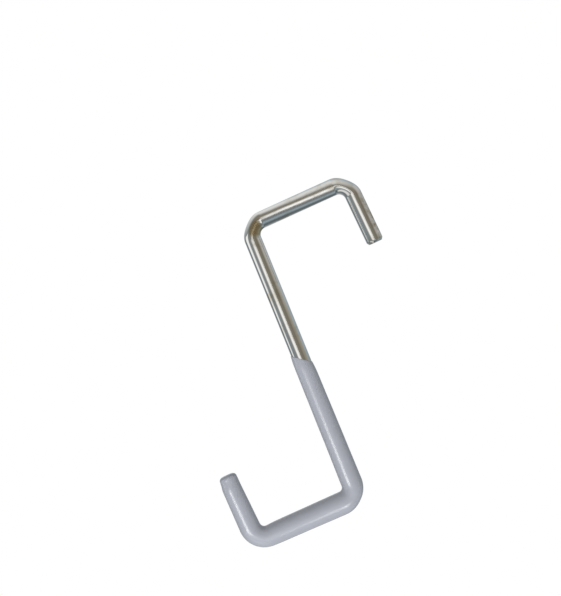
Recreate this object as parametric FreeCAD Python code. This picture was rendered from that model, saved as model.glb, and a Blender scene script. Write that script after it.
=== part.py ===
import FreeCAD, Part
import math
import os

# Over-rafter storage hook. One round steel rod, plated bright and bent square in four places,
# hangs over a rafter by its top bar. Its lower half is dipped in vinyl: from the middle of the
# shank, round the lower hook and over the end of its upturned leg.
# Frame: the origin is the middle of the top bar's underside, where a rafter's top edge bears.
# +X runs along the top bar towards the free leg, +Z is up, and the rod lies in the XZ plane.
# Lengths are in millimetres and angles in degrees.

# Steel rod
rod_diameter = 7.94          # 5/16 in
bend_inner_radius = 3.2      # inside of every bend, on the bare rod
bend_flattening = 0.09       # share of its depth that the bare rod loses at the middle of a bend
bend_spread = 0.03           # share of its width that it gains there, across the bend
end_chamfer_length = 1.2     # measured along the rod, at both cut ends
end_chamfer_depth = 0.75

# Top hook
rafter_gap = 42.2            # clear width under the top bar, for a rafter 38 mm thick
free_leg_length = 31.3       # from the corner point to the cut end
free_leg_splay = 0.8         # the leg leans away from the rafter

# Shank and lower hook
shank_length = 134.0         # between the corner points of the two bars
shank_lean = 2.4             # the shank runs down towards the lower hook's side
load_gap = 42.9              # between the bare rods of the lower hook
load_leg_length = 32.0       # from the corner point to the rod's end, inside the coating
load_leg_splay = 0.4

# Vinyl coating: where it starts, and what it adds to the rod's radius on its way to the tip
dip_line_distance = 65.9     # from the top bar's corner point to the middle of the dip line
dip_line_slant = 36.0        # from square across the rod, higher on the lower hook's side
lip_length = 6.0             # the coating thickens over this length below its edge
coat_at_lip = 0.22
coat_on_shank = 0.62
coat_in_bends = 1.0
coat_at_bar_start = 1.45     # the wet vinyl gathers on the bottom bar, most beside the shank
coat_at_bar_end = 1.2
bar_sag = 0.36               # and its skin hangs this much lower there
swell_length = 5.0           # over which it thickens at each end of the bar
coat_at_tip = 0.58
coat_over_end = 1.5          # how far the closed tip runs past the rod's end
tip_taper_length = 5.0       # the leg's outer side draws in over this length below its tip
tip_taper = 0.7              # the tip ends this much narrower
tip_rounding = 1.3

# How finely the lofts follow their curves
bend_sections = 6
lip_sections = 3
tip_rings = 5

rod_radius = rod_diameter / 2
bend_radius = bend_inner_radius + rod_radius
across = FreeCAD.Vector(0, 1, 0)

# Headings in the hook's plane, from +X towards +Z: of its five runs, and straight down
free_leg_up = 90 + free_leg_splay
bar_out = 180
shank_down = 270 - shank_lean
load_leg_up = 90 + load_leg_splay
plumb = 270


def direction(heading):
    angle = math.radians(heading)
    return FreeCAD.Vector(math.cos(angle), 0, math.sin(angle))


def oval(centre, long_axis, short_axis, long_radius, short_radius):
    """Closed oval wire about centre, in the plane of its two axes."""
    wire = Part.Wire(Part.Ellipse(FreeCAD.Vector(), long_radius, short_radius).toShape())
    normal = long_axis.cross(short_axis)
    turn = FreeCAD.Rotation(long_axis, short_axis, normal, "XYZ")
    wire.Placement = FreeCAD.Placement(centre, turn)
    return wire


def corner_points():
    """Where the runs' centre lines meet: the top hook's two corners, then the lower hook's."""
    free_corner = FreeCAD.Vector(rafter_gap / 2 + rod_radius, 0, rod_radius)
    shank_corner = free_corner + direction(bar_out) * (rafter_gap + rod_diameter)
    foot_corner = shank_corner + direction(shank_down) * shank_length
    load_corner = foot_corner + direction(bar_out) * (load_gap + rod_diameter)
    return free_corner, shank_corner, foot_corner, load_corner


def setback(turn):
    """How far from its corner point a bend starts and ends."""
    return bend_radius * math.tan(math.radians(abs(turn)) / 2)


def bend_frame(corner, heading_in, heading_out):
    """A bend's turn, the side that its centre lies on, its first point and its centre."""
    turn = heading_out - heading_in
    side = math.copysign(90, turn)
    start = corner - direction(heading_in) * setback(turn)
    return turn, side, start, start + direction(heading_in + side) * bend_radius


def round_bend(corner, heading_in, heading_out, coat=0.0):
    """A bend of one round section, as a disc turned about the bend's centre."""
    turn, side, start, centre = bend_frame(corner, heading_in, heading_out)
    rim = Part.Circle(FreeCAD.Vector(), FreeCAD.Vector(0, 0, 1), rod_radius + coat).toShape()
    inward = direction(heading_in + side)
    forward = direction(heading_in)
    rim.Placement = FreeCAD.Placement(
        start, FreeCAD.Rotation(inward, forward.cross(inward), forward, "XYZ"))
    disc = Part.Face(Part.Wire(rim))
    return disc.revolve(centre, across * math.copysign(1, -turn), abs(turn))


def flattened_bend(corner, heading_in, heading_out):
    """A bare bend. The tool holds its inside round, and its outside is drawn flatter."""
    turn, side, start, centre = bend_frame(corner, heading_in, heading_out)
    sections = []
    for step in range(bend_sections):
        share = step / (bend_sections - 1)
        outward = direction(heading_in + turn * share - side)
        strain = math.sin(math.pi * share) ** 2
        half_depth = rod_radius * (1 - bend_flattening * strain)
        half_width = rod_radius * (1 + bend_spread * strain)
        middle = centre + outward * (bend_inner_radius + half_depth)
        sections.append(oval(middle, across, outward, half_width, half_depth))
    return Part.makeLoft(sections, True, False)


def rod_run(start, end):
    along = end - start
    return Part.makeCylinder(rod_radius, along.Length, start, along)


def coat_run(heading, start, end, coat_at_start, coat_at_end):
    """A stretch of coating between two sections square to the rod, tapered evenly."""
    side = direction(heading + 90)
    start_radius = rod_radius + coat_at_start
    end_radius = rod_radius + coat_at_end
    return Part.makeLoft([
        oval(start, across, side, start_radius, start_radius),
        oval(end, across, side, end_radius, end_radius)], True, True)


def chamfered_end(end, heading):
    """One end of the rod, rolled over where it was sheared off."""
    start = end - direction(heading) * end_chamfer_length
    face_radius = rod_radius - end_chamfer_depth
    return Part.makeCone(rod_radius, face_radius, end_chamfer_length, start, direction(heading))


def fuse(pieces):
    return pieces[0].multiFuse(pieces[1:])


def steel_rod():
    free_corner, shank_corner, foot_corner, load_corner = corner_points()
    free_setback = setback(bar_out - free_leg_up)
    shank_setback = setback(shank_down - bar_out)
    load_setback = setback(load_leg_up - bar_out)
    free_end = free_corner - direction(free_leg_up) * free_leg_length
    load_end = load_corner + direction(load_leg_up) * load_leg_length
    free_leg = rod_run(
        free_end + direction(free_leg_up) * end_chamfer_length,
        free_corner - direction(free_leg_up) * free_setback)
    top_bar = rod_run(
        free_corner + direction(bar_out) * free_setback,
        shank_corner - direction(bar_out) * shank_setback)
    shank = rod_run(
        shank_corner + direction(shank_down) * shank_setback,
        foot_corner - direction(shank_down) * shank_setback)
    bottom_bar = rod_run(
        foot_corner + direction(bar_out) * shank_setback,
        load_corner - direction(bar_out) * load_setback)
    load_leg = rod_run(
        load_corner + direction(load_leg_up) * load_setback,
        load_end - direction(load_leg_up) * end_chamfer_length)
    return fuse([
        chamfered_end(free_end, free_leg_up + 180),
        free_leg,
        flattened_bend(free_corner, free_leg_up, bar_out),
        top_bar,
        flattened_bend(shank_corner, bar_out, shank_down),
        shank,
        round_bend(foot_corner, shank_down, bar_out),
        bottom_bar,
        round_bend(load_corner, bar_out, load_leg_up),
        load_leg,
        chamfered_end(load_end, load_leg_up)])


def dip_line_lip(dip_middle):
    """The coating's slanted upper edge, thin at the edge and full below it.

    Each section of the lip is the slanted oval that a tube of its radius would be cut to. The
    collar below it is a wedge of plain tube, which brings the coating back to a square section.
    Returns the two pieces and the middle of the collar's square end.
    """
    down = direction(shank_down)
    load_side = direction(shank_down - 90)
    slant = math.radians(dip_line_slant)
    uphill = load_side * math.cos(slant) - down * math.sin(slant)
    sections = []
    for step in range(lip_sections):
        share = step / (lip_sections - 1)
        swell = math.sin(math.pi / 2 * share)
        radius = rod_radius + coat_at_lip + (coat_on_shank - coat_at_lip) * swell
        middle = dip_middle + down * (lip_length * share)
        sections.append(oval(middle, uphill, across, radius / math.cos(slant), radius))
    lip = Part.makeLoft(sections, True, True)
    lip_end = dip_middle + down * lip_length
    full_radius = rod_radius + coat_on_shank
    reach = down * (full_radius * math.tan(slant))
    above_lip_end = Part.Plane(lip_end, uphill.cross(across)).toShape().makeHalfSpace(dip_middle)
    collar = Part.makeCylinder(full_radius, 2 * reach.Length, lip_end - reach, down)
    return lip, collar.cut(above_lip_end), lip_end + reach


def rounded_tip(start, coat_at_start):
    """The coating's closed end, past the end of the rod. Its rim is rounded in even steps."""
    side = direction(load_leg_up + 90)
    rings = []
    for step in range(tip_rings):
        angle = math.pi / 2 * step / (tip_rings - 1)
        radius = rod_radius + coat_at_start - tip_rounding * (1 - math.cos(angle))
        middle = start + direction(load_leg_up) * (tip_rounding * math.sin(angle))
        rings.append(oval(middle, across, side, radius, radius))
    return Part.makeLoft(rings, True, True)


def vinyl_coating(rod):
    free_corner, shank_corner, foot_corner, load_corner = corner_points()
    shank_setback = setback(shank_down - bar_out)
    load_setback = setback(load_leg_up - bar_out)
    dip_middle = shank_corner + direction(shank_down) * dip_line_distance
    lip, collar, collar_end = dip_line_lip(dip_middle)
    shank_end = foot_corner - direction(shank_down) * shank_setback
    bar_start = foot_corner + direction(bar_out) * shank_setback
    bar_end = load_corner - direction(bar_out) * load_setback
    swell_start = bar_start + direction(bar_out) * swell_length + direction(plumb) * bar_sag
    swell_end = bar_end - direction(bar_out) * swell_length
    leg_start = load_corner + direction(load_leg_up) * load_setback
    tip_start = load_corner + direction(load_leg_up) * (
        load_leg_length + coat_over_end - tip_rounding)
    taper_start = tip_start - direction(load_leg_up) * tip_taper_length
    taper_end = tip_start + direction(load_leg_up - 90) * (tip_taper / 2)
    coat_at_taper_end = coat_at_tip - tip_taper / 2
    skin = fuse([
        lip,
        collar,
        coat_run(shank_down, collar_end, shank_end, coat_on_shank, coat_in_bends),
        round_bend(foot_corner, shank_down, bar_out, coat_in_bends),
        coat_run(bar_out, bar_start, swell_start, coat_in_bends, coat_at_bar_start),
        coat_run(bar_out, swell_start, swell_end, coat_at_bar_start, coat_at_bar_end),
        coat_run(bar_out, swell_end, bar_end, coat_at_bar_end, coat_in_bends),
        round_bend(load_corner, bar_out, load_leg_up, coat_in_bends),
        coat_run(load_leg_up, leg_start, taper_start, coat_in_bends, coat_at_tip),
        coat_run(load_leg_up, taper_start, taper_end, coat_at_tip, coat_at_taper_end),
        rounded_tip(taper_end, coat_at_taper_end)])
    return skin.cut(rod)


os.makedirs("parts", exist_ok=True)
rod_solid = steel_rod()
rod_solid.exportStep("parts/steel_rod.step")
vinyl_coating(rod_solid).exportStep("parts/vinyl_coating.step")
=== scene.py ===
import bpy
import math
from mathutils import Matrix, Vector


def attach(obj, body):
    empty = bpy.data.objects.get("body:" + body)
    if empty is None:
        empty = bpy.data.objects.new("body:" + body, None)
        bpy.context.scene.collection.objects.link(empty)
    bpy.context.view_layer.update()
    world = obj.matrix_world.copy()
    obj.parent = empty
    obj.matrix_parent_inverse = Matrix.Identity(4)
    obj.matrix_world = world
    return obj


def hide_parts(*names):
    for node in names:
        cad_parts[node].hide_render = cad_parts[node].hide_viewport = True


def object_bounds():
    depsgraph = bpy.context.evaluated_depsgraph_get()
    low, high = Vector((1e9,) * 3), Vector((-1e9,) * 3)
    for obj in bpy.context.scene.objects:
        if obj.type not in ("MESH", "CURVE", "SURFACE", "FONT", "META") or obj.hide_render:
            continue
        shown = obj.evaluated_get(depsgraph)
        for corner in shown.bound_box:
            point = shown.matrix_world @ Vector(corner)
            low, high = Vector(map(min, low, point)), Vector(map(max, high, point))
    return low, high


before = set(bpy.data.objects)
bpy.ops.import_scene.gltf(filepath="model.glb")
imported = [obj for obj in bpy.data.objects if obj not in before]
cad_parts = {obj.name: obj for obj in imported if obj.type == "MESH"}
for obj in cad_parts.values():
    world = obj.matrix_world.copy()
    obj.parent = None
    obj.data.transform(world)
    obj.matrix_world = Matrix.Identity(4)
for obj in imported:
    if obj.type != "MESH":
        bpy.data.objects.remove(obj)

# Over-rafter hook: one bent steel rod, plated bright, its lower half dipped in grey vinyl.
# The frame's origin is the middle of the top bar's underside. +X runs to the free leg, +Z is up,
# and the rod lies in the XZ plane. Sizes here are in millimetres and angles in degrees.

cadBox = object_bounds()
mm = 0.001
across = Vector((0, 1, 0))


def hexColour(text):
    channels = [int(text[i:i + 2], 16) / 255 for i in (1, 3, 5)]
    linear = [c / 12.92 if c <= 0.04045 else ((c + 0.055) / 1.055) ** 2.4 for c in channels]
    return (*linear, 1.0)


colourA = 6          # sockets of a Mix node set to colours
colourB = 7
colourResult = 2


def addNode(tree, kind, inputs=None, **settings):
    # inputs holds a value or a socket to link, for each of the node's own inputs
    node = tree.nodes.new(kind)
    for name, value in settings.items():
        setattr(node, name, value)
    for key, value in (inputs or {}).items():
        if isinstance(value, bpy.types.NodeSocket):
            tree.links.new(value, node.inputs[key])
        else:
            node.inputs[key].default_value = value
    return node


def mixColours(tree, share, first, second):
    return addNode(tree, "ShaderNodeMix", {
        0: share, colourA: first, colourB: second}, data_type="RGBA").outputs[colourResult]


def mapRange(tree, value, start, end, first=0.0, last=1.0):
    # the value carried from start..end over to first..last, and held at both ends
    return addNode(tree, "ShaderNodeMapRange", {
        "Value": value,
        "From Min": start,
        "From Max": end,
        "To Min": first,
        "To Max": last}).outputs[0]


# The rod's centre line: five straight runs and four bends

rod = {
    "radius": 3.97,
    "insideRadius": 3.2,       # of every bend
    "rafterGap": 42.2,
    "freeLeg": 31.3,           # lengths run between the corner points
    "freeLegSplay": 0.8,
    "shank": 134.0,
    "shankLean": 2.4,
    "loadGap": 42.9,
    "loadLeg": 32.0,
    "loadLegSplay": 0.4,
    "flattening": 0.09,        # share of its depth that a bare bend loses
    "spread": 0.03,            # share of its width that it gains
    "chamferLength": 1.2,      # at both cut ends
    "chamferDepth": 0.75,
    "waver": 0.02,             # how far drawing and bending leave the surface out of true
    "waverLength": 9.0,
    "seed": 2.0,
}

coat = {
    "dipLine": 65.9,           # from the top bar's corner point to the middle of the dip line
    "slant": 36.0,
    "slantEnds": 24.0,         # the slanted rings have turned square this far below the dip line
    "lipLength": 6.0,
    "atLip": 0.22,             # what the vinyl adds to the rod's radius
    "onShank": 0.62,
    "inBends": 1.0,
    "barStart": 1.45,
    "barEnd": 1.2,
    "sag": 0.36,               # the skin hangs this much lower on the bar, most beside the shank
    "gather": 5.5,             # the bar's swelling starts this far before the bar, in the bend
    "gatherEnd": 1.0,
    "thinning": 5.0,
    "easing": 1.6,
    "atTip": 0.58,
    "overEnd": 1.5,
    "taperLength": 5.0,        # the leg's outer side draws in over this length below its tip
    "taper": 0.7,
    "tipRounding": 1.8,
    "tipDome": 0.12,
    "waver": 0.12,             # the dipped skin's slow unevenness
    "waverLength": 12.0,
    "seed": 5.0,
}

fineness = {                   # of the swept mesh
    "ringVertices": 96,
    "bendStep": 2.5,           # degrees of a bend from one ring to the next
    "runStep": 1.0,
    "tipSteps": 12,
}


def heading(angle):
    return Vector((math.cos(math.radians(angle)), 0, math.sin(math.radians(angle))))


def centreLine():
    # a list of segments: length, start, heading and, for a bend, its turn
    headings = [
        90 + rod["freeLegSplay"],
        180,
        270 - rod["shankLean"],
        180,
        90 + rod["loadLegSplay"],
    ]
    lengths = [
        rod["freeLeg"],
        rod["rafterGap"] + 2 * rod["radius"],
        rod["shank"],
        rod["loadGap"] + 2 * rod["radius"],
        rod["loadLeg"],
    ]
    bendRadius = rod["insideRadius"] + rod["radius"]
    freeCorner = Vector((rod["rafterGap"] / 2 + rod["radius"], 0, rod["radius"]))
    point = freeCorner - heading(headings[0]) * lengths[0]
    segments = []
    cut = 0
    for i, (angle, length) in enumerate(zip(headings, lengths)):
        turn = headings[i + 1] - angle if i < 4 else 0
        nextCut = bendRadius * math.tan(math.radians(abs(turn)) / 2)
        run = length - cut - nextCut
        segments.append({"length": run, "start": point, "heading": angle, "turn": 0})
        point = point + heading(angle) * run
        if turn:
            arc = bendRadius * math.radians(abs(turn))
            segments.append({"length": arc, "start": point, "heading": angle, "turn": turn})
            point = point + (heading(angle) + heading(angle + turn)) * nextCut
        cut = nextCut
    return segments


segments = centreLine()
segmentNames = [
    "freeLeg", "firstBend", "topBar", "secondBend", "shank", "footBend", "loadBar", "loadBend",
    "loadLeg"]
segmentStarts = [sum(s["length"] for s in segments[:i]) for i in range(len(segments))]
startOf = dict(zip(segmentNames, segmentStarts))
rodLength = sum(s["length"] for s in segments)


def pathAt(along):
    # where the centre line is at this distance from the bare end, and which way it heads
    index = 0
    for i, start in enumerate(segmentStarts):
        if along >= start:
            index = i
    segment = segments[index]
    travelled = along - segmentStarts[index]
    if not segment["turn"]:
        point = segment["start"] + heading(segment["heading"]) * travelled
        return point, segment["heading"], 0, 0
    share = travelled / segment["length"]
    side = math.copysign(90, segment["turn"])
    bendRadius = rod["insideRadius"] + rod["radius"]
    centre = segment["start"] + heading(segment["heading"] + side) * bendRadius
    angle = segment["heading"] + segment["turn"] * share
    point = centre - heading(angle + side) * bendRadius
    # the coating hides any flattening from the foot bend on
    strain = math.sin(math.pi * share) ** 2 if along < startOf["footBend"] else 0
    return point, angle, strain, math.copysign(1, side)


def spacedAlong(start, end):
    # stations between two distances, closer together in the bends
    stations = []
    along = start
    bendRadius = rod["insideRadius"] + rod["radius"]
    while along < end - 0.2:
        stations.append(along)
        inBend = any(
            s["turn"] and begin - 1 <= along < begin + s["length"]
            for s, begin in zip(segments, segmentStarts))
        bendStep = bendRadius * math.radians(fineness["bendStep"])
        along += bendStep if inBend else fineness["runStep"]
    return stations


def easeBetween(value, start, end):
    share = min(max((value - start) / (end - start), 0), 1)
    return share * share * (3 - 2 * share)


# The places along the rod that the coating is set out from
shankCorner = startOf["shank"] - (rod["insideRadius"] + rod["radius"]) * math.tan(
    math.radians(90 - rod["shankLean"]) / 2)
dipStart = shankCorner + coat["dipLine"]
footBend = startOf["footBend"]
barStart = startOf["loadBar"]
loadBend = startOf["loadBend"]
legStart = startOf["loadLeg"]
tipEnd = rodLength + coat["overEnd"]
tipStart = tipEnd - coat["tipRounding"]
taperStart = tipStart - coat["taperLength"]
print("centre line laid out,", round(rodLength, 1), "mm of rod")


def between(along, start, end, first, last):
    return first + (last - first) * min(max((along - start) / (end - start), 0), 1)


def coatSection(along):
    # what the vinyl adds to the rod's radius, and how far its middle lies towards "side"
    below = along - dipStart
    if below < coat["lipLength"]:
        rise = math.sin(math.pi / 2 * max(below, 0) / coat["lipLength"])
        return coat["atLip"] + (coat["onShank"] - coat["atLip"]) * rise, 0.0
    if along < footBend:
        full = dipStart + coat["lipLength"]
        return between(along, full, footBend, coat["onShank"], coat["inBends"]), 0.0
    if along < barStart - coat["gather"] or loadBend + coat["easing"] < along < legStart:
        return coat["inBends"], 0.0
    if along <= loadBend + coat["easing"]:
        swollen = barStart + coat["gatherEnd"]
        thinning = loadBend - coat["thinning"]
        full = between(along, swollen, thinning, coat["barStart"], coat["barEnd"])
        gathered = easeBetween(along, barStart - coat["gather"], swollen)
        share = gathered * (1 - easeBetween(along, thinning, loadBend + coat["easing"]))
        sag = between(along, swollen, thinning, coat["sag"], 0.0) * gathered
        return coat["inBends"] + (full - coat["inBends"]) * share, sag
    if along < taperStart:
        return between(along, legStart, taperStart, coat["inBends"], coat["atTip"]), 0.0
    drawnIn = easeBetween(along, taperStart, tipStart) * coat["taper"] / 2
    return coat["atTip"] - drawnIn, -drawnIn


# Each piece is swept along the centre line from a table of rings: the distance along it, the
# radius, how far its middle lies to one side, and how much of the skin's waver it takes

bareEnd = {                    # the sheared end, rolled over and chamfered
    "edgeRounding": 0.18,
    "cornerRounding": 0.06,
    "cleared": 0.5,            # the evenly spaced rings start this far past the chamfer's own
}
chamferClear = rod["chamferLength"] * 1.2
evenFrom = chamferClear + bareEnd["cleared"]

# The coating's lip: how far below the dip line, and its share of the thickness there
lipEdge = ((0.03, 0.42), (0.1, 0.72), (0.25, 0.93))
lipWaver = 0.3
belowLip = 0.6


def rodEnd(towardsEnd):
    # from the middle of the end face out to the full radius, as depths below the face
    full = rod["radius"]
    face = full - rod["chamferDepth"]
    rounding = bareEnd["edgeRounding"]
    corner = bareEnd["cornerRounding"]
    chamfer = rod["chamferLength"]
    profile = [
        (0.0, 0.0),
        (0.01, face * 0.5),
        (0.03, face - rounding),
        (0.08, face - rounding * 0.2),
        (0.16, face + 0.05),
        (chamfer * 0.55, (face + full) / 2),
        (chamfer * 0.92, full - corner),
        (chamfer * 1.04, full - corner * 0.2),
        (chamferClear, full),
    ]
    return [(towardsEnd(depth), radius) for depth, radius in profile]


def rodRings():
    full = rod["radius"]
    rings = rodEnd(lambda depth: depth)
    rings += [(along, full) for along in spacedAlong(evenFrom, rodLength - evenFrom)]
    rings += reversed(rodEnd(lambda depth: rodLength - depth))
    return [(along, radius, 0.0, radius / full) for along, radius in rings]


def coatRings():
    # one closed skin: up the bore from the rod's covered end, over the lip and down the outside
    full = rod["radius"]
    bore = rodEnd(lambda depth: rodLength - depth)
    bore += [(along, full) for along in reversed(spacedAlong(dipStart, rodLength - evenFrom))]
    rings = [(along, radius, 0.0, 0.0) for along, radius in bore]
    for below, share in lipEdge:
        rings.append((dipStart + below, full + coat["atLip"] * share, 0.0, lipWaver))
    for along in spacedAlong(dipStart + belowLip, tipStart):
        thickness, shift = coatSection(along)
        rings.append((along, full + thickness, shift, 1.0))
    thickness, shift = coatSection(tipStart)
    rim = full + thickness
    dome = coat["tipDome"]
    for step in range(fineness["tipSteps"] + 1):
        angle = math.pi / 2 * step / fineness["tipSteps"]
        rings.append((
            tipStart + (coat["tipRounding"] - dome) * math.sin(angle),
            rim - coat["tipRounding"] * (1 - math.cos(angle)),
            shift,
            1.0))
    # the last of the vinyl drains off the end and leaves it a little domed
    for share in (0.8, 0.55, 0.3, 0.1, 0.0):
        rings.append((tipEnd - dome * share ** 2, (rim - coat["tipRounding"]) * share, shift, share))
    return rings


ringValues = {
    "centre": "FLOAT_VECTOR",      # of the ring
    "side": "FLOAT_VECTOR",        # square to the rod, in the hook's plane
    "forward": "FLOAT_VECTOR",
    "radius": "FLOAT",
    "along": "FLOAT",
    "strain": "FLOAT",             # how far a bare bend is flattened here, from 0 to 1
    "slantShare": "FLOAT",         # how much of the dip line's slant this ring keeps
    "waverShare": "FLOAT",
}


def pathMesh(name, rings):
    # a chain of edges, whose points carry what the sweep needs to know
    points = []
    values = {label: [] for label in ringValues}
    for along, radius, shift, waver in rings:
        point, angle, strain, turnSide = pathAt(along)
        side = heading(angle + 90)
        inward = turnSide * rod["radius"] * rod["flattening"] * strain
        point = (point + side * (inward + shift)) * mm
        points.append(point)
        values["centre"].extend(point)
        values["side"].extend(side)
        values["forward"].extend(heading(angle))
        values["radius"].append(radius * mm)
        values["along"].append(along * mm)
        values["strain"].append(strain)
        values["slantShare"].append(
            1 - easeBetween(along - dipStart, coat["lipLength"], coat["slantEnds"]))
        values["waverShare"].append(waver)
    mesh = bpy.data.meshes.new(name)
    mesh.from_pydata(points, [(i, i + 1) for i in range(len(points) - 1)], [])
    for label, kind in ringValues.items():
        attribute = mesh.attributes.new(label, kind, "POINT")
        attribute.data.foreach_set("vector" if "VECTOR" in kind else "value", values[label])
    return mesh


def sweepTree():
    # rolls a grid round the path, ring by ring: oval in the bends, slanted at the coating's lip
    tree = bpy.data.node_groups.new("sweepAlongRod", "GeometryNodeTree")
    sockets = tree.interface
    sockets.new_socket("Geometry", in_out="INPUT", socket_type="NodeSocketGeometry")
    sockets.new_socket("Ring vertices", in_out="INPUT", socket_type="NodeSocketInt")
    for label in ("Flattening", "Spread", "Slant", "Waver", "Waver length", "Seed"):
        sockets.new_socket(label, in_out="INPUT", socket_type="NodeSocketFloat")
    sockets.new_socket("Material", in_out="INPUT", socket_type="NodeSocketMaterial")
    sockets.new_socket("Geometry", in_out="OUTPUT", socket_type="NodeSocketGeometry")
    given = tree.nodes.new("NodeGroupInput").outputs

    def maths(operation, a, b=0.0):
        return addNode(tree, "ShaderNodeMath", {0: a, 1: b}, operation=operation).outputs[0]

    def scaled(vector, by):
        return addNode(tree, "ShaderNodeVectorMath", {
            0: vector, "Scale": by}, operation="SCALE").outputs[0]

    def total(*vectors):
        result = vectors[0]
        for vector in vectors[1:]:
            result = addNode(tree, "ShaderNodeVectorMath", {
                0: result, 1: vector}, operation="ADD").outputs[0]
        return result

    path = addNode(tree, "GeometryNodeAttributeDomainSize", {"Geometry": given["Geometry"]})
    around = maths("ADD", given["Ring vertices"], 1.0)
    grid = addNode(tree, "GeometryNodeMeshGrid", {
        "Vertices X": path.outputs["Point Count"], "Vertices Y": around})
    index = addNode(tree, "GeometryNodeInputIndex").outputs[0]
    ring = maths("FLOOR", maths("DIVIDE", index, around))
    turn = maths("DIVIDE", maths("MODULO", index, around), given["Ring vertices"])
    angle = maths("MULTIPLY", turn, math.tau)

    here = {}
    for label, kind in ringValues.items():
        stored = addNode(
            tree, "GeometryNodeInputNamedAttribute", {"Name": label}, data_type=kind)
        here[label] = addNode(tree, "GeometryNodeSampleIndex", {
            "Geometry": given["Geometry"], "Value": stored.outputs[0], "Index": ring},
            data_type=kind, domain="POINT").outputs[0]

    # in a bend the section loses depth and gains width
    flatter = maths("SUBTRACT", 1.0, maths("MULTIPLY", here["strain"], given["Flattening"]))
    wider = maths("ADD", 1.0, maths("MULTIPLY", here["strain"], given["Spread"]))
    cosine = maths("COSINE", angle)
    sine = maths("SINE", angle)
    depth = maths("MULTIPLY", maths("MULTIPLY", cosine, here["radius"]), flatter)
    width = maths("MULTIPLY", maths("MULTIPLY", sine, here["radius"]), wider)
    # the lip is higher on the lower hook's side, which is the side that "side" points away from
    slope = maths("MULTIPLY", maths("TANGENT", given["Slant"]), here["slantShare"])
    lean = maths("MULTIPLY", depth, slope)

    # a seamless place on the rod's surface: round it, then along it
    onSurface = addNode(tree, "ShaderNodeCombineXYZ", {
        "X": depth, "Y": width, "Z": here["along"]}).outputs[0]
    noise = addNode(tree, "ShaderNodeTexNoise", {
        "Vector": onSurface,
        "W": given["Seed"],
        "Scale": maths("DIVIDE", 1.0, given["Waver length"]),
        "Detail": 1.0,
        "Roughness": 0.4}, noise_dimensions="4D")
    # inwards only, so that the skin keeps to its full size at its widest
    widest = 0.8               # the noise goes no higher here
    swelling = maths("MULTIPLY", maths("SUBTRACT", noise.outputs[0], widest), given["Waver"])
    swelling = maths("MULTIPLY", swelling, here["waverShare"])

    placed = total(
        here["centre"],
        scaled(here["side"], maths("ADD", depth, maths("MULTIPLY", cosine, swelling))),
        scaled(tuple(across), maths("ADD", width, maths("MULTIPLY", sine, swelling))),
        scaled(here["forward"], lean))
    shaped = addNode(tree, "GeometryNodeSetPosition", {
        "Geometry": grid.outputs["Mesh"], "Position": placed})
    located = addNode(tree, "GeometryNodeStoreNamedAttribute", {
        "Geometry": shaped.outputs[0], "Name": "rodSpace", "Value": onSurface},
        data_type="FLOAT_VECTOR", domain="POINT")
    strained = addNode(tree, "GeometryNodeStoreNamedAttribute", {
        "Geometry": located.outputs[0], "Name": "bendStrain", "Value": here["strain"]},
        data_type="FLOAT", domain="POINT")
    closed = addNode(tree, "GeometryNodeMergeByDistance", {
        "Geometry": strained.outputs[0], "Distance": 1e-6})
    smooth = addNode(tree, "GeometryNodeSetShadeSmooth", {
        "Geometry": closed.outputs[0], "Shade Smooth": True})
    real = addNode(tree, "GeometryNodeRealizeInstances", {"Geometry": smooth.outputs[0]})
    painted = addNode(tree, "GeometryNodeSetMaterial", {
        "Geometry": real.outputs[0], "Material": given["Material"]})
    addNode(tree, "NodeGroupOutput", {"Geometry": painted.outputs[0]})
    return tree


sweep = sweepTree()


def sweptMesh(name, rings, material, piece, **settings):
    carrier = bpy.data.objects.new(name + "Path", pathMesh(name + "Path", rings))
    bpy.context.scene.collection.objects.link(carrier)
    modifier = carrier.modifiers.new("sweep", "NODES")
    modifier.node_group = sweep
    wanted = {
        "Ring vertices": fineness["ringVertices"],
        "Material": material,
        "Waver": piece["waver"] * mm,
        "Waver length": piece["waverLength"] * mm,
        "Seed": piece["seed"],
        **settings,
    }
    for item in sweep.interface.items_tree:
        if item.in_out == "INPUT" and item.name in wanted:
            modifier[item.identifier] = wanted[item.name]
    evaluated = carrier.evaluated_get(bpy.context.evaluated_depsgraph_get())
    mesh = bpy.data.meshes.new_from_object(evaluated)
    carrier.modifiers.remove(modifier)
    bpy.data.objects.remove(carrier)
    mesh.name = name
    return mesh


def addPiece(name, mesh, node):
    piece = bpy.data.objects.new(name, mesh)
    bpy.context.scene.collection.objects.link(piece)
    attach(piece, "root")
    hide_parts(node)
    return piece


# Materials

def newMaterial(name):
    material = bpy.data.materials.new(name)
    material.use_nodes = True
    material.node_tree.nodes.clear()
    return material, material.node_tree


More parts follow.
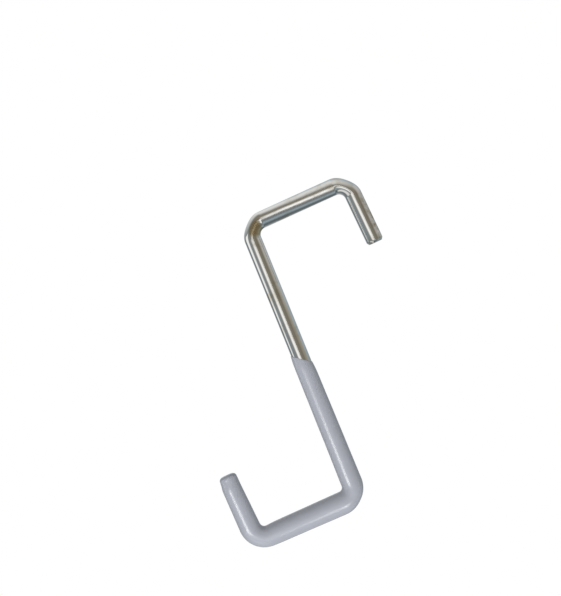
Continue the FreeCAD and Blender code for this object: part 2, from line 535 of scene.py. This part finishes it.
def brightPlatedSteel():
    # Cold drawn mild steel rod with a bright zinc plate. Drawing leaves fine lines along it,
    # which the thin plate follows, so reflections run in long bands that break into streaks.
    # Pairs of numbers are where a mask begins and is full: the two noises run from 0 to 1, and
    # sides are in shares of the rod's radius.
    finish = {
        "bright": "#DAD9D5",
        "dulled": "#B3A892",       # brownish where the plate is stained
        "dulledNoise": (0.52, 0.85),
        "patchSize": 7.0,
        "smoothest": 0.05,
        "roughest": 0.10,
        "roughNoise": (0.3, 0.75),
        "lineSpacing": 0.35,
        "lineRun": 14.0,           # how long one line keeps going
        "lineDepth": 0.01,
        "lineStrength": 0.35,
        "handled": "#7C6C42",      # brown blotches down the outer side of the free leg
        "handledSize": 4.0,
        "handledNoise": (0.38, 0.75),
        "handledSide": (-0.15, -0.6),
        "handledReach": (26.0, 19.5),
        "paintedBendReflection": "#BBAA8A",       # painted brown reflection and shade inside the bend that leads to the shank, on its front side only, where the plate is also duller
        "paintedBendRoughness": 0.26,
        "paintedBendSide": (-0.6, -0.1),
        "paintedBendFront": (0.6, -0.5),
        "paintedBendEdge": (0.03, 0.4),
    }
    material, tree = newMaterial("brightZincPlatedSteel")
    place = addNode(tree, "ShaderNodeAttribute", attribute_name="rodSpace").outputs["Vector"]
    stretched = addNode(tree, "ShaderNodeVectorMath", {
        0: place, 1: (1, 1, finish["lineSpacing"] / finish["lineRun"])}, operation="MULTIPLY")
    lines = addNode(tree, "ShaderNodeTexNoise", {
        "Vector": stretched.outputs[0],
        "Scale": 1 / (finish["lineSpacing"] * 2 * mm),
        "Detail": 3.0,
        "Roughness": 0.6})
    patches = addNode(tree, "ShaderNodeTexNoise", {
        "Vector": place,
        "Scale": 1 / (finish["patchSize"] * mm),
        "Detail": 4.0,
        "Roughness": 0.6})
    blotches = addNode(tree, "ShaderNodeTexNoise", {
        "Vector": place,
        "Scale": 1 / (finish["handledSize"] * mm),
        "Detail": 3.0,
        "Roughness": 0.65})
    axes = addNode(tree, "ShaderNodeSeparateXYZ", {0: place}).outputs

    def times(*factors):
        product = factors[0]
        for factor in factors[1:]:
            product = addNode(tree, "ShaderNodeMath", {
                0: product, 1: factor}, operation="MULTIPLY").outputs[0]
        return product

    def fromSide(axis, sides):
        return mapRange(tree, axes[axis], *[side * rod["radius"] * mm for side in sides])

    def alongRod(first, last):
        return mapRange(tree, axes["Z"], first * mm, last * mm)

    dulled = mapRange(tree, patches.outputs[0], *finish["dulledNoise"])
    colour = mixColours(tree, dulled, hexColour(finish["bright"]), hexColour(finish["dulled"]))
    handled = times(
        fromSide("X", finish["handledSide"]),
        alongRod(*finish["handledReach"]),
        mapRange(tree, blotches.outputs[0], *finish["handledNoise"]))
    colour = mixColours(tree, handled, colour, hexColour(finish["handled"]))

    # painted brown reflection and shade, only on the side facing the front: none on the first bend,
    # and all of it on the second
    paintedBendReflection = times(
        addNode(tree, "ShaderNodeAttribute", attribute_name="bendStrain").outputs["Fac"],
        fromSide("X", finish["paintedBendSide"]),
        alongRod(startOf["topBar"], startOf["secondBend"]),
        fromSide("Y", finish["paintedBendFront"]),
        mapRange(tree, blotches.outputs[0], 0, 1, 0.5, 1.5))
    paintedBendReflection = mapRange(tree, paintedBendReflection, *finish["paintedBendEdge"])
    colour = mixColours(tree, paintedBendReflection, colour, hexColour(finish["paintedBendReflection"]))
    rough = mapRange(
        tree, patches.outputs[0], *finish["roughNoise"], finish["smoothest"], finish["roughest"])
    # the plate is rougher where the brown reflection is painted
    rough = mapRange(tree, paintedBendReflection, 0, 1, rough, finish["paintedBendRoughness"])
    bump = addNode(tree, "ShaderNodeBump", {
        "Height": lines.outputs[0],
        "Distance": finish["lineDepth"] * mm,
        "Strength": finish["lineStrength"]})
    shader = addNode(tree, "ShaderNodeBsdfPrincipled", {
        "Base Color": colour,
        "Metallic": 1.0,
        "Roughness": rough,
        "Normal": bump.outputs[0]})
    addNode(tree, "ShaderNodeOutputMaterial", {"Surface": shader.outputs[0]})
    return material


def greyDippedVinyl():
    # Plastisol: liquid vinyl that the hot rod is dipped in and that cures in place. It levels
    # like a paint, so it is smooth and fairly glossy, with a slow unevenness where it ran.
    finish = {
        "colour": "#A2A6B0",
        "shade": "#9FA1A9",
        "runSize": 5.0,
        "roughness": 0.22,
        "ior": 1.53,
        "peelSize": 1.1,
        "peelDepth": 0.003,
        "peelStrength": 0.5,
    }
    material, tree = newMaterial("greyPlastisolDip")
    place = addNode(tree, "ShaderNodeAttribute", attribute_name="rodSpace").outputs["Vector"]
    clouds = addNode(tree, "ShaderNodeTexNoise", {
        "Vector": place, "Scale": 1 / (finish["runSize"] * mm), "Detail": 2.0})
    colour = mixColours(
        tree, clouds.outputs[0], hexColour(finish["colour"]), hexColour(finish["shade"]))
    peel = addNode(tree, "ShaderNodeTexNoise", {
        "Vector": place, "Scale": 1 / (finish["peelSize"] * 2 * mm), "Detail": 1.0})
    bump = addNode(tree, "ShaderNodeBump", {
        "Height": peel.outputs[0],
        "Distance": finish["peelDepth"] * mm,
        "Strength": finish["peelStrength"]})
    shader = addNode(tree, "ShaderNodeBsdfPrincipled", {
        "Base Color": colour,
        "Roughness": finish["roughness"],
        "IOR": finish["ior"],
        "Normal": bump.outputs[0]})
    addNode(tree, "ShaderNodeOutputMaterial", {"Surface": shader.outputs[0]})
    return material


steelFinish = brightPlatedSteel()
vinylFinish = greyDippedVinyl()
print("materials made")


# Pieces

def bareRod():
    mesh = sweptMesh(
        "bentSteelRod", rodRings(), steelFinish, rod,
        Flattening=rod["flattening"], Spread=rod["spread"])
    return addPiece("bent_steel_rod", mesh, "steel_rod")


def dippedCoating():
    mesh = sweptMesh(
        "dippedVinylCoating", coatRings(), vinylFinish, coat,
        Slant=math.radians(coat["slant"]))
    return addPiece("dipped_vinyl_coating", mesh, "vinyl_coating")


bareRod()
vinylPiece = dippedCoating()
print("pieces made")


# Camera: straight on to the hook's plane, rolled as the hook lies in the photograph

view = {
    "imageWidth": 561,
    "imageHeight": 596,
    "pixelsPerMm": 2.1723,
    "roll": 24.50,
    "centre": (-25.01, -32.45),    # X and Z of the point at the middle of the picture
    "distance": 750.0,
    "sensor": 36.0,
}


def addCamera():
    data = bpy.data.cameras.new("photoView")
    camera = bpy.data.objects.new("photoView", data)
    bpy.context.scene.collection.objects.link(camera)
    data.sensor_fit = "VERTICAL"
    data.sensor_height = view["sensor"]
    data.lens = view["sensor"] * view["distance"] * view["pixelsPerMm"] / view["imageHeight"]
    data.clip_start = 0.01
    camera.location = Vector((view["centre"][0], -view["distance"], view["centre"][1])) * mm
    camera.rotation_mode = "XYZ"
    camera.rotation_euler = (math.radians(90), math.radians(view["roll"]), 0)
    bpy.context.scene.camera = camera


addCamera()


# Light

studio = {
    "target": Vector((-28, 0, -63)) * mm,
    "floorDrop": 620.0,
    "floorRadius": 900.0,
    "floorFade": (0.3, 0.98),  # shares of its radius between which it fades out
    "floorLift": 0.45,         # what keeps the floor pale to the eye
    "paper": "#F2F2F0",
    "ambient": 0.37,
}

# Each lamp's place is given as degrees to the right of the line back to the camera and above it
lamps = {
    "softFront": {"right": -20, "up": -31, "distance": 1.4, "size": (0.9, 0.9), "watts": 8.6,
                  "onlyOnVinyl": False},
    "softBack": {"right": 165, "up": 22, "distance": 1.8, "size": (1.2, 1.2), "watts": 16.0,
                 "onlyOnVinyl": False},
    # the two thin lines on the vinyl; the metal has its own in the soft boxes below
    "leftLine": {"right": -34, "up": -10.4, "distance": 1.4, "size": (0.60, 0.28), "watts": 6.6,
                 "onlyOnVinyl": True},
    "lowerLine": {"right": 7.5, "up": -41, "distance": 1.0, "size": (0.30, 0.32), "watts": 2.6,
                  "onlyOnVinyl": True},
}

# What the metal sees in each direction, by degrees away from the line back to the camera:
# a dim room to the right, a bright ceiling, a dark bench below and a pale wall behind
neutral = (1.0, 1.0, 1.0)
brown = (1.08, 1.0, 0.80)
cool = (0.82, 1.0, 1.12)
surroundings = {
    "right": [(0, 0.24, brown), (9, 0.26, brown), (18, 0.25, brown), (40, 0.22, brown),
              (60, 0.32, brown), (80, 0.38, brown), (105, 0.50, cool), (135, 0.45, cool),
              (170, 0.55, neutral)],
    "above": [(0, 0.24, brown), (16, 0.26, brown), (24, 0.25, brown), (40, 0.24, brown),
              (51, 0.43, neutral), (63, 0.74, neutral), (78, 0.92, neutral), (97, 0.97, neutral),
              (115, 0.90, neutral), (138, 0.68, cool), (170, 0.55, neutral)],
    "left": [(0, 0.24, brown), (14, 0.26, brown), (30, 0.28, neutral), (48, 0.30, neutral),
             (62, 0.32, cool), (90, 0.24, cool), (112, 0.22, cool), (135, 0.3, cool),
             (170, 0.55, neutral)],
    "below": [(0, 0.24, brown), (10, 0.25, brown), (20, 0.26, neutral), (32, 0.22, neutral),
              (46, 0.25, cool), (58, 0.42, cool), (69, 0.52, cool), (86, 0.26, cool),
              (104, 0.14, cool), (128, 0.24, cool), (170, 0.55, neutral)],
}

# The top bar's surroundings are near it, so their pattern turns round the bar along its length
drift = {
    "level": 2.1,              # degrees to the right, as the middle of the bar sees them
    "reach": 2.5,
    "rate": 11.4,              # degrees upwards for each degree to the left
}

# Soft boxes, which the metal shows as its bright stripes: half widths and softness in degrees,
# and how much their lower and upper edges rise for each degree to the right
softBoxes = [
    {"chart": "uprights", "right": -17, "up": -0.2, "reach": (14.5, 3.8), "soft": (11, 1.4),
     "tilt": 0, "level": 1.26},
    {"chart": "bars", "right": 4.5, "up": -1, "reach": (4.0, 13.5), "soft": (0.8, 10),
     "tilt": 0, "level": 1.42},
    {"chart": "uprights", "right": -86, "up": 13.6, "reach": (20, 13), "soft": (7, 2.4),
     "tilt": 0.22, "level": 1.2},
    {"chart": "uprights", "right": -60, "up": -38, "reach": (20, 32), "soft": (10, 4),
     "tilt": 0, "level": 0.95},
    {"chart": "uprights", "right": -13, "up": -15, "reach": (8, 9), "soft": (6, 6),
     "tilt": 0, "level": 1.25},
    {"chart": "uprights", "right": 94, "up": 14, "reach": (32, 15.5), "soft": (14, 2.6),
     "tilt": 0, "level": 0.62},
]


def directionFrom(right, up):
    # right and up of the line back to the camera, which is -Y
    right = math.radians(right)
    up = math.radians(up)
    return Vector((math.sin(right) * math.cos(up), -math.cos(right) * math.cos(up), math.sin(up)))


def addLamps():
    vinylOnly = bpy.data.collections.new("litByThinLamps")
    vinylOnly.objects.link(vinylPiece)
    for name, lamp in lamps.items():
        data = bpy.data.lights.new(name, "AREA")
        data.shape = "RECTANGLE"
        data.size, data.size_y = lamp["size"]
        data.energy = lamp["watts"]
        light = bpy.data.objects.new(name, data)
        bpy.context.scene.collection.objects.link(light)
        towards = directionFrom(lamp["right"], lamp["up"])
        light.location = studio["target"] + towards * lamp["distance"]
        light.rotation_euler = towards.to_track_quat("Z", "Y").to_euler()
        light.visible_camera = False
        light.visible_glossy = lamp["onlyOnVinyl"]
        if lamp["onlyOnVinyl"]:
            light.light_linking.receiver_collection = vinylOnly


addLamps()


def addFloor():
    # a plain pale floor well under the hanging hook, faded out to the white backdrop
    bpy.ops.mesh.primitive_circle_add(
        vertices=128, radius=studio["floorRadius"] * mm, fill_type="NGON",
        location=(studio["target"].x, 0, cadBox[0][2] - studio["floorDrop"] * mm))
    floor = bpy.context.object
    floor.name = "paleFloor"
    material, tree = newMaterial("palePaperSweep")
    place = addNode(tree, "ShaderNodeTexCoord").outputs["Object"]
    reach = addNode(tree, "ShaderNodeVectorMath", {0: place}, operation="LENGTH").outputs["Value"]
    fade = addNode(tree, "ShaderNodeMapRange", {
        "Value": reach,
        "From Min": studio["floorRadius"] * mm * studio["floorFade"][0],
        "From Max": studio["floorRadius"] * mm * studio["floorFade"][1]},
        interpolation_type="SMOOTHSTEP")
    paper = addNode(tree, "ShaderNodeBsdfDiffuse", {"Color": hexColour(studio["paper"])})
    seen = addNode(tree, "ShaderNodeLightPath").outputs["Is Camera Ray"]
    lift = addNode(tree, "ShaderNodeMath", {0: seen, 1: studio["floorLift"]}, operation="MULTIPLY")
    pale = addNode(tree, "ShaderNodeEmission", {
        "Color": hexColour(studio["paper"]), "Strength": lift.outputs[0]})
    sheet = addNode(tree, "ShaderNodeAddShader", {0: paper.outputs[0], 1: pale.outputs[0]})
    clear = addNode(tree, "ShaderNodeBsdfTransparent")
    mixed = addNode(tree, "ShaderNodeMixShader", {
        0: fade.outputs[0], 1: sheet.outputs[0], 2: clear.outputs[0]})
    addNode(tree, "ShaderNodeOutputMaterial", {"Surface": mixed.outputs[0]})
    floor.data.materials.append(material)
    floor.visible_glossy = False


addFloor()


def addWorld():
    # white to the eye, an even grey as light, and the studio's own pattern in reflections
    world = bpy.data.worlds.new("softStudio")
    bpy.context.scene.world = world
    world.use_nodes = True
    world.cycles.sampling_method = "NONE"    # even light needs no aiming, and gives less grain
    tree = world.node_tree
    tree.nodes.clear()

    def maths(operation, a, b=0.0):
        return addNode(tree, "ShaderNodeMath", {0: a, 1: b}, operation=operation).outputs[0]

    def eased(value, low, high, top=1.0):
        return addNode(tree, "ShaderNodeMapRange", {
            "Value": value, "From Min": low, "From Max": high, "To Max": top},
            interpolation_type="SMOOTHSTEP").outputs[0]

    direction = addNode(tree, "ShaderNodeTexCoord").outputs["Generated"]
    axes = addNode(tree, "ShaderNodeSeparateXYZ", {0: direction}).outputs
    towardsCamera = maths("MULTIPLY", axes["Y"], -1.0)
    away = maths("DIVIDE", maths("ARCCOSINE", towardsCamera), math.pi)

    sideways = maths("DEGREES", maths("ARCSINE", axes["X"]))
    drifted = maths("MAXIMUM", maths("SUBTRACT", sideways, drift["level"]), -drift["reach"])
    drifted = maths("MULTIPLY", maths("MINIMUM", drifted, drift["reach"]), drift["rate"])

    # blend the four sides by how far the direction leans to each
    sides = (
        ("right", "X", 1.0, 0.0),
        ("left", "X", -1.0, 0.0),
        ("above", "Z", 1.0, 1.0),
        ("below", "Z", -1.0, -1.0),
    )
    leaning = maths("SUBTRACT", 1.0, maths("MULTIPLY", axes["Y"], axes["Y"]))
    leaning = maths("MAXIMUM", leaning, 1e-5)    # never nought, straight ahead and behind
    level = None
    for name, axis, sign, driftSign in sides:
        turned = maths("ADD", away, maths("MULTIPLY", drifted, driftSign / 180))
        ramp = addNode(tree, "ShaderNodeValToRGB", {"Fac": turned})
        ramp.color_ramp.interpolation = "EASE"
        elements = ramp.color_ramp.elements
        elements.remove(elements[1])
        for degrees, brightness, tint in surroundings[name]:
            element = elements.new(degrees / 180) if degrees else elements[0]
            element.color = (*[brightness * channel for channel in tint], 1)
        towards = maths("MAXIMUM", maths("MULTIPLY", axes[axis], sign), 0.0)
        share = maths("DIVIDE", maths("MULTIPLY", towards, towards), leaning)
        part = addNode(tree, "ShaderNodeVectorMath", {
            0: ramp.outputs[0], "Scale": share}, operation="SCALE").outputs[0]
        if level:
            part = addNode(tree, "ShaderNodeVectorMath", {
                0: level, 1: part}, operation="ADD").outputs[0]
        level = part

    # the boxes are set out on two charts, one for what upright runs see and one for the bars
    charts = {
        "uprights": (
            maths("DEGREES", maths("ARCTAN2", axes["X"], towardsCamera)),
            maths("DEGREES", maths("ARCSINE", axes["Z"]))),
        "bars": (
            sideways,
            maths("ADD", maths("DEGREES", maths("ARCTAN2", axes["Z"], towardsCamera)), drifted)),
    }
    for box in softBoxes:
        inside = 1.0
        right, up = charts[box["chart"]]
        fromMiddle = maths("SUBTRACT", right, box["right"])
        risen = maths("ADD", box["up"], maths("MULTIPLY", fromMiddle, box["tilt"]))
        aboveMiddle = maths("SUBTRACT", up, risen)
        for place, reach, soft in zip((fromMiddle, aboveMiddle), box["reach"], box["soft"]):
            outside = maths("ABSOLUTE", place)
            within = maths("SUBTRACT", 1.0, eased(outside, reach - soft, reach + soft))
            inside = maths("MULTIPLY", within, inside)
        level = mixColours(tree, inside, level, (*[box["level"]] * 3, 1))

    reflected = addNode(tree, "ShaderNodeBackground", {"Color": level})
    ambient = addNode(tree, "ShaderNodeBackground", {
        "Color": (1, 1, 1, 1), "Strength": studio["ambient"]})
    backdrop = addNode(tree, "ShaderNodeBackground", {"Color": (1, 1, 1, 1)})
    rays = addNode(tree, "ShaderNodeLightPath").outputs
    glossy = maths("MAXIMUM", rays["Is Glossy Ray"], rays["Is Transmission Ray"])
    first = addNode(tree, "ShaderNodeMixShader", {
        0: glossy, 1: ambient.outputs[0], 2: reflected.outputs[0]})
    second = addNode(tree, "ShaderNodeMixShader", {
        0: rays["Is Camera Ray"], 1: first.outputs[0], 2: backdrop.outputs[0]})
    addNode(tree, "ShaderNodeOutputWorld", {"Surface": second.outputs[0]})


addWorld()
bpy.context.scene.view_settings.view_transform = "Standard"
print("camera, floor and light set")
